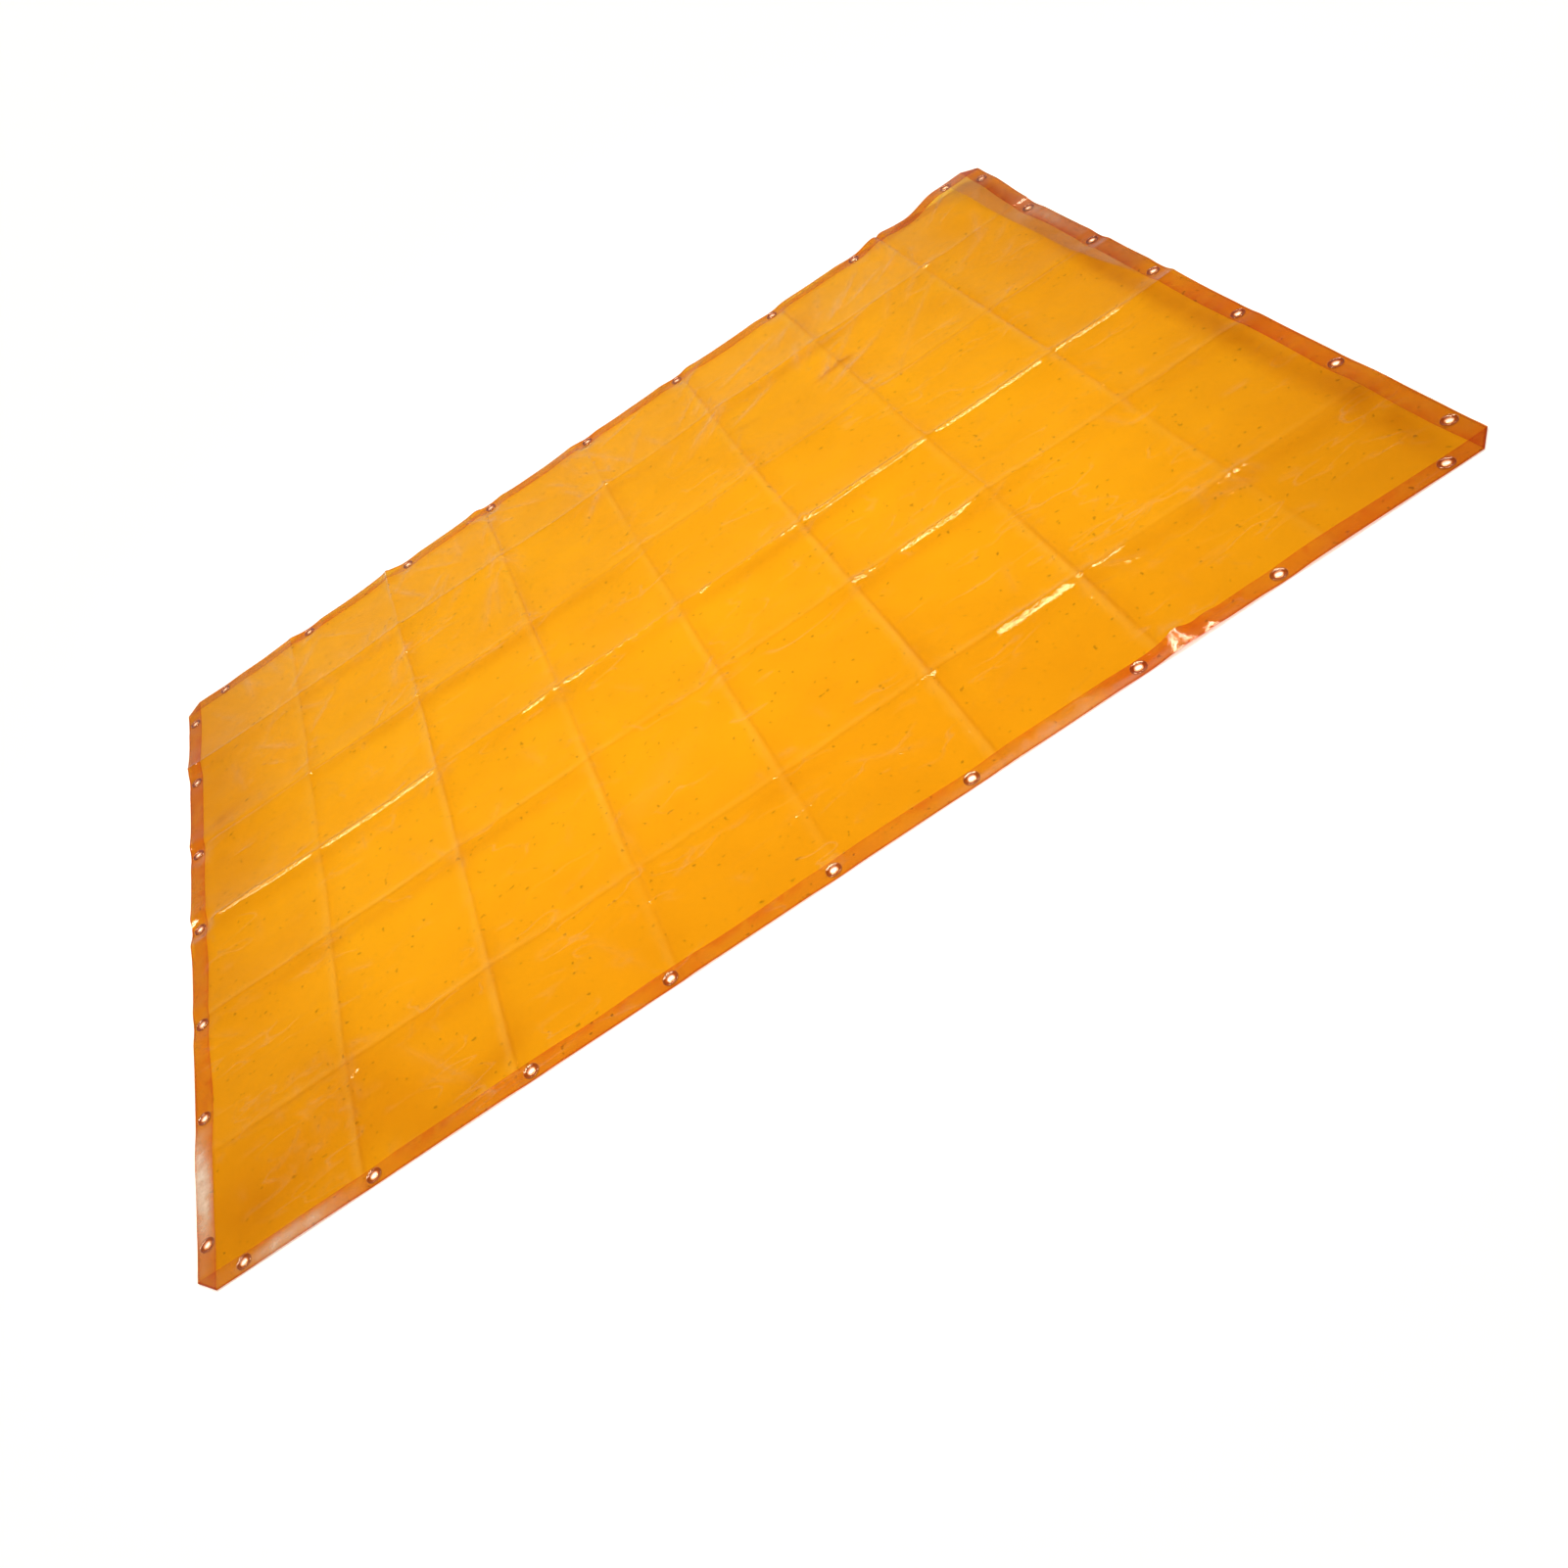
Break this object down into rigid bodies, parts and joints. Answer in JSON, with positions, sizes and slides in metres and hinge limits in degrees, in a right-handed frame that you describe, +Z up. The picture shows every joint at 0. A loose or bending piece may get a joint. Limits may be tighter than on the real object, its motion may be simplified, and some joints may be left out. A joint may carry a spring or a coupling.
{
  "type": "welding curtain sheet",
  "caption": "Frameless translucent amber welding curtain with welded hems, cut corners and eyelets along all four edges, laid flat with its packing creases.",
  "frame": {"origin": "centre of the bounding box's underside, on the floor that the sheet is laid on", "axes": "+X along the long edge, +Y across the sheet from its near edge to its far edge, +Z up off the floor"},
  "size_m": [2.44, 1.83, 0.0241],
  "materials": {
    "amber_film": "glossy translucent amber film",
    "hem_film": "glossy translucent amber film, welded double and so a deeper orange",
    "eyelet_plastic": "glossy clear amber moulding"
  },
  "bodies": {
    "root": {"eyelet_far_1": "eyelet_plastic", "eyelet_far_2": "eyelet_plastic", "eyelet_far_3": "eyelet_plastic", "eyelet_far_4": "eyelet_plastic", "eyelet_far_5": "eyelet_plastic", "eyelet_far_6": "eyelet_plastic", "eyelet_far_7": "eyelet_plastic", "eyelet_far_8": "eyelet_plastic", "eyelet_far_9": "eyelet_plastic", "eyelet_left_1": "eyelet_plastic", "eyelet_left_2": "eyelet_plastic", "eyelet_left_3": "eyelet_plastic", "eyelet_left_4": "eyelet_plastic", "eyelet_left_5": "eyelet_plastic", "eyelet_left_6": "eyelet_plastic", "eyelet_left_7": "eyelet_plastic", "eyelet_near_1": "eyelet_plastic", "eyelet_near_2": "eyelet_plastic", "eyelet_near_3": "eyelet_plastic", "eyelet_near_4": "eyelet_plastic", "eyelet_near_5": "eyelet_plastic", "eyelet_near_6": "eyelet_plastic", "eyelet_near_7": "eyelet_plastic", "eyelet_near_8": "eyelet_plastic", "eyelet_near_9": "eyelet_plastic", "eyelet_right_1": "eyelet_plastic", "eyelet_right_2": "eyelet_plastic", "eyelet_right_3": "eyelet_plastic", "eyelet_right_4": "eyelet_plastic", "eyelet_right_5": "eyelet_plastic", "eyelet_right_6": "eyelet_plastic", "eyelet_right_7": "eyelet_plastic", "film_panel": "amber_film", "hem_far": "hem_film", "hem_left": "hem_film", "hem_near": "hem_film", "hem_right": "hem_film"}
  },
  "joints": []
}
